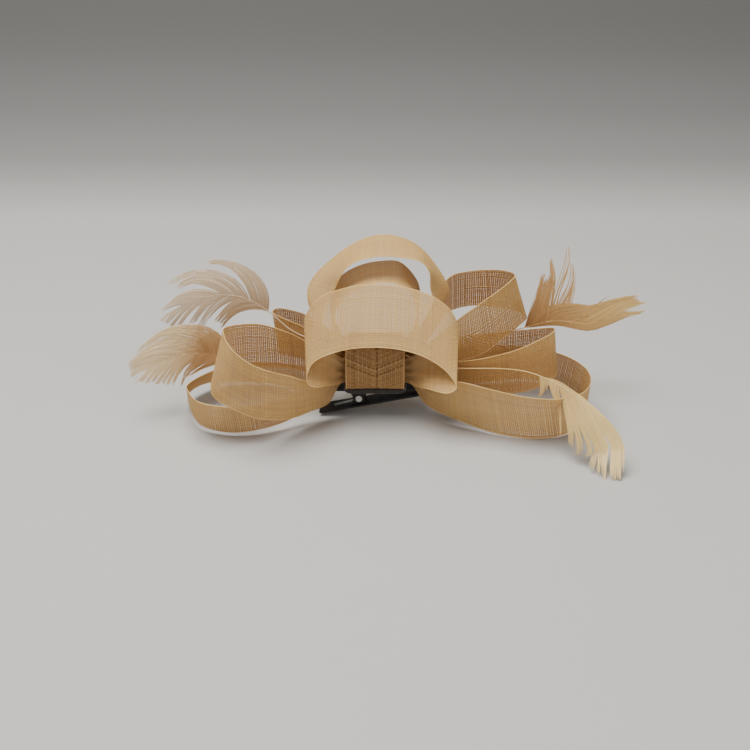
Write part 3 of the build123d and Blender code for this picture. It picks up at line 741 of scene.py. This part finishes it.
def lockMesh(feather, route, lock, rng):
    # Barbs that leave the quill side by side and run out to tips that lie close together.
    # Flat places are (along the vane, out from the quill) in mm; angles are from the quill.
    roots, tips, leaving, arriving, gap, lighter = lock
    start = route.distance[feather["bare"]]
    first, last = roots
    count = max(int((last - first) / gap), 3)
    mesh, i, t, side, top = bars(count, barb["cuts"])
    place = (np.arange(count) + rng.random(count)) / count
    root = np.stack([first + (last - first) * place, np.zeros(count)], -1)
    tips = np.array(tips).reshape(2, 2)
    tip = tips[0] + (tips[1] - tips[0]) * place[:, None]
    tuft = (np.arange(count) // barb["tuft"]).astype(int)
    tuftTip = np.stack([np.bincount(tuft, tip[:, k]) / np.bincount(tuft) for k in range(2)], -1)
    tip = tip + (tuftTip[tuft] - tip) * barb["cling"]
    length = 1 + rng.normal(0, barb["lengthSpread"], count)
    length = length + rng.normal(0, barb["tuftSpread"], tuft.max() + 1)[tuft]
    tip = root + (tip - root) * length[:, None]
    reach = np.linalg.norm(tip - root, axis=1)[:, None]

    def heading(pair):
        spread = rng.normal(0, barb["angleSpread"], count)
        angle = np.radians(pair[0] + (pair[1] - pair[0]) * place + spread)
        return np.stack([np.cos(angle), np.sin(angle)], -1)

    leave = root + heading(leaving) * reach * barb["arm"]
    arrive = tip - heading(arriving) * reach * barb["arm"]
    q = t[:, None]
    flat = (
        (1 - q) ** 3 * root[i] + 3 * (1 - q) ** 2 * q * leave[i]
        + 3 * (1 - q) * q**2 * arrive[i] + q**3 * tip[i]
    )
    course = unit(
        3 * (1 - q) ** 2 * (leave - root)[i] + 6 * (1 - q) * q * (arrive - leave)[i]
        + 3 * q**2 * (tip - arrive)[i]
    )
    wide = barb["width"] + (barb["tipWidth"] - barb["width"]) * t**2
    flat = flat + np.stack([-course[:, 1], course[:, 0]], -1) * (side * wide)[:, None]
    layer = rng.normal(0, barb["layerSpread"], count)[i]
    layer = layer + feather["camber"] * (flat[:, 1] / barb["camberWidth"]) ** 2
    lift = top * barb["thickness"] * (1 - 0.5 * t) - layer * np.sign(route.stations[-1, 0])
    point, across, normal = featherFrame(route, start + flat[:, 0])
    points = point + across * flat[:, 1:] + normal * lift[:, None]
    tone = 0.5 + lighter + rng.normal(0, barb["toneSpread"], count)[i] - barb["rootShade"] * (1 - t) ** 2
    before = barb["flatBefore"]
    span = route.length - start + before + barb["flatBeyond"]
    u = np.clip((flat[:, 0] + before) / span, 0, 1)
    v = 0.5 + np.clip(flat[:, 1] / barb["flatWidth"], -0.5, 0.5)
    shapeMesh(mesh, points, u, v, tone)
    return mesh


def quillMesh(route):
    shape = bmesh.new()
    bmesh.ops.create_cone(
        shape, segments=quill["segments"], radius1=1, radius2=1, depth=1, cap_ends=True
    )
    bmesh.ops.subdivide_edges(shape, edges=longEdges(shape, 2), cuts=quill["cuts"])
    mesh = bpy.data.meshes.new("quill")
    shape.to_mesh(mesh)
    shape.free()
    co = coordinates(mesh)
    t = co[:, 2] + 0.5
    point, across, normal = featherFrame(route, t * route.length)
    radius = quill["rootRadius"] + (quill["tipRadius"] - quill["rootRadius"]) * t
    points = point + normal * (co[:, 0] * radius)[:, None] + across * (co[:, 1] * radius)[:, None]
    shapeMesh(mesh, points, t, 0.5 + co[:, 1] * 0.01, quill["tone"] + 0.1 * co[:, 0])
    return mesh


print("laying the feathers")
for name, feather in feathers.items():
    route = Route(feather["stations"])
    rng = np.random.default_rng(feather["seed"])
    finish = featherFinish(name + "Plume", *feather["colours"])
    barbs = [lockMesh(feather, route, lock, rng) for lock in feather["locks"]]
    vane = joined(name + "_plume", barbs, finish)
    shaft = joined(name + "_shaft", [quillMesh(route)], finish, smooth=True)
    for piece, node, slot in ((vane, "_vane", feather["slot"]), (shaft, "_quill", "quill")):
        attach(piece, "headpiece")
        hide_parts(name + node)


pad = {"corner": 4.0, "cornerSegments": 8, "rim": 0.35, "rimSegments": 3, "fill": 0.9}


def feltFinish():
    f = Finish("darkFelt", Roughness=0.95, Sheen_Weight=0.4)
    fluff = f.objectNoise(1500.0, 6.0)
    body = f.mix(fluff, (0.006, 0.005, 0.004), (0.05, 0.038, 0.03))
    f.feed(Base_Color=body, Normal=f.bump(fluff, 0.6, 0.0002))
    return f.material


def feltPad():
    low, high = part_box("felt_pad")
    size = [h - l for l, h in zip(low, high)]
    middle = [(h + l) / 2 for l, h in zip(low, high)]
    shape = bmesh.new()
    bmesh.ops.create_cube(shape, size=1.0)
    bmesh.ops.scale(shape, vec=size, verts=shape.verts)

    def roundOff(edges, radius, segments):
        bmesh.ops.bevel(
            shape, geom=edges, offset=radius * mm, segments=segments, profile=0.5,
            affect="EDGES", material=-1,
        )

    roundOff(longEdges(shape, 2, 0.5 * mm), pad["corner"], pad["cornerSegments"])
    level, close = size[2] / 2, 0.001 * mm

    def onRim(edge):
        first, second = (v.co.z for v in edge.verts)
        return abs(abs(first) - level) < close and abs(first - second) < close

    roundOff([e for e in shape.edges if onRim(e)], pad["rim"], pad["rimSegments"])
    bmesh.ops.translate(shape, vec=middle, verts=shape.verts)
    piece = placed("felt_pad_soft", shape, feltFinish())
    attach(piece, "headpiece")
    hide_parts("felt_pad")


print("cutting the felt pad")
feltPad()


# Clip, pin, spring, thread and stitches keep their own shapes
def enamelFinish():
    f = Finish("clipEnamel", Metallic=0.0, Specular_IOR_Level=0.3)
    wear = f.objectNoise(350.0, 5.0)
    stops = [(0.0, (0, 0, 0)), (0.66, (0, 0, 0)), (0.74, (1, 1, 1))]
    worn = f.node("ShaderNodeValToRGB", {"stops": stops}, {"Fac": wear})
    f.feed(
        # The near-black enamel is partly the clip's own colour and partly painted shade, dark enough
        # that the clip under the knot reads as shadow
        Base_Color=f.mix(worn, (0.01, 0.008, 0.007), (0.09, 0.08, 0.07)),
        Roughness=wear * 0.3 + 0.35,
        Normal=f.bump(wear, 0.15, 0.0001),
    )
    return f.material


def steelFinish():
    f = Finish("drawnSteel", Metallic=1.0)
    streak = f.objectNoise(900.0, 4.0)
    body = f.mix(streak, (0.32, 0.31, 0.29), (0.6, 0.58, 0.55))
    f.feed(Base_Color=body, Roughness=streak * 0.3 + 0.2)
    return f.material


def threadFinish():
    f = Finish("sewingThread", Roughness=0.7, Sheen_Weight=0.4)
    place = f.node("ShaderNodeTexCoord", output=3)
    twist = {"bands_direction": "DIAGONAL"}
    ply = f.node("ShaderNodeTexWave", twist, {"Vector": place, "Scale": 900.0})
    body = f.mix(ply, (0.02, 0.014, 0.01), (0.11, 0.08, 0.055))
    f.feed(Base_Color=body, Normal=f.bump(ply, 0.5, 0.0001))
    return f.material


print("finishing the clip and the threads")
finishes = {
    enamelFinish: ("clip_top_arm", "clip_bottom_arm"),
    steelFinish: ("clip_pin", "clip_spring"),
    threadFinish: ("binding_thread", "stitches"),
}
for make, nodes in finishes.items():
    material = make()
    for node in nodes:
        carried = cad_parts[node]
        carried.data.materials.clear()
        carried.data.materials.append(material)


# Floor, light and camera, in metres
studio = {
    "floorColour": (0.505, 0.49, 0.455),
    # Painted shade: the wall is the same backdrop as the floor, painted darker for the lesser light it
    # gets from above
    "wallShadeColour": (0.13, 0.127, 0.12),
    "floorSize": 2.5,        # from the middle to each side
    "floorRows": 400,
    "wallY": 0.27,           # where the floor starts to curve up
    "bend": 0.12,            # radius of that curve
    # painted shade: how far the darker wall colour has taken over, by height as a share of the bend
    "shadeFade": ((0, 0), (0.062, 0.3), (0.146, 0.56), (0.24, 0.75), (0.47, 0.9), (0.8, 0.98)),
    "lightAim": (0, 0, 0.02),
    "keyPlace": (-0.2, -0.1, 0.9),
    "keySize": 0.8,
    "keyPower": 15.2,
    "fillPlace": (0.5, -0.6, 0.5),
    "fillSize": 0.6,
    "fillPower": 1.6,
    "roomColour": (0.93, 0.96, 1.0, 1),
    "roomPower": 0.36,
    "lens": 50.0,
    "distance": 0.417,
    "elevation": 24.0,
    "aimZ": 0.017,
}


def backdropFinish():
    f = Finish("paleBackdrop", Roughness=0.85)
    grain = f.objectNoise(30.0, 4.0)
    place = f.node("ShaderNodeTexCoord", output=3)
    height = f.node("ShaderNodeSeparateXYZ", None, {0: place}, output=2)
    stops = [(share, (value,) * 3) for share, value in studio["shadeFade"]]
    shadeFade = f.node("ShaderNodeValToRGB", {"stops": stops}, {"Fac": height * (1 / studio["bend"])})
    low = tuple(0.97 * c for c in studio["floorColour"])
    floor = f.mix(grain, low, studio["floorColour"])
    # Painted shade: the floor colour gives way to the darker wall colour as the backdrop rises
    f.feed(Base_Color=f.mix(shadeFade, floor, studio["wallShadeColour"]))
    return f.material


def backdrop():
    # A floor that curves up into a wall
    bend, wallY = studio["bend"], studio["wallY"]
    shape = bmesh.new()
    bmesh.ops.create_grid(
        shape, x_segments=2, y_segments=studio["floorRows"], size=studio["floorSize"]
    )
    for vertex in shape.verts:
        past = vertex.co.y - wallY
        if past > 0:
            turn = min(past / bend, math.pi / 2)
            vertex.co.y = wallY + bend * math.sin(turn)
            vertex.co.z = bend * (1 - math.cos(turn)) + max(past - bend * math.pi / 2, 0)
    placed("backdrop", shape, backdropFinish(), smooth=True)


def softbox(name):
    light = bpy.data.lights.new(name, "AREA")
    light.shape = "DISK"
    light.size = studio[name + "Size"]
    light.energy = studio[name + "Power"]
    lamp = bpy.data.objects.new(name, light)
    bpy.context.scene.collection.objects.link(lamp)
    lamp.location = studio[name + "Place"]
    away = np.array(studio[name + "Place"]) - np.array(studio["lightAim"])
    tilt = math.acos(away[2] / np.linalg.norm(away))
    lamp.rotation_euler = (tilt, 0, math.atan2(away[1], away[0]) + math.pi / 2)


def roomLight():
    room = bpy.data.worlds.new("room")
    room.use_nodes = True
    background = room.node_tree.nodes["Background"]
    background.inputs[0].default_value = studio["roomColour"]
    background.inputs[1].default_value = studio["roomPower"]
    bpy.context.scene.world = room


def camera():
    lens = bpy.data.cameras.new("camera")
    lens.lens = studio["lens"]
    lens.sensor_width = 36
    lens.clip_start = 0.01
    lens.dof.use_dof = False
    body = bpy.data.objects.new("camera", lens)
    bpy.context.scene.collection.objects.link(body)
    tilt = math.radians(studio["elevation"])
    reach = studio["distance"]
    body.location = (0, -reach * math.cos(tilt), studio["aimZ"] + reach * math.sin(tilt))
    body.rotation_euler = (math.radians(90) - tilt, 0, 0)
    bpy.context.scene.camera = body


print("lighting the stage")
backdrop()
softbox("key")
softbox("fill")
roomLight()
camera()
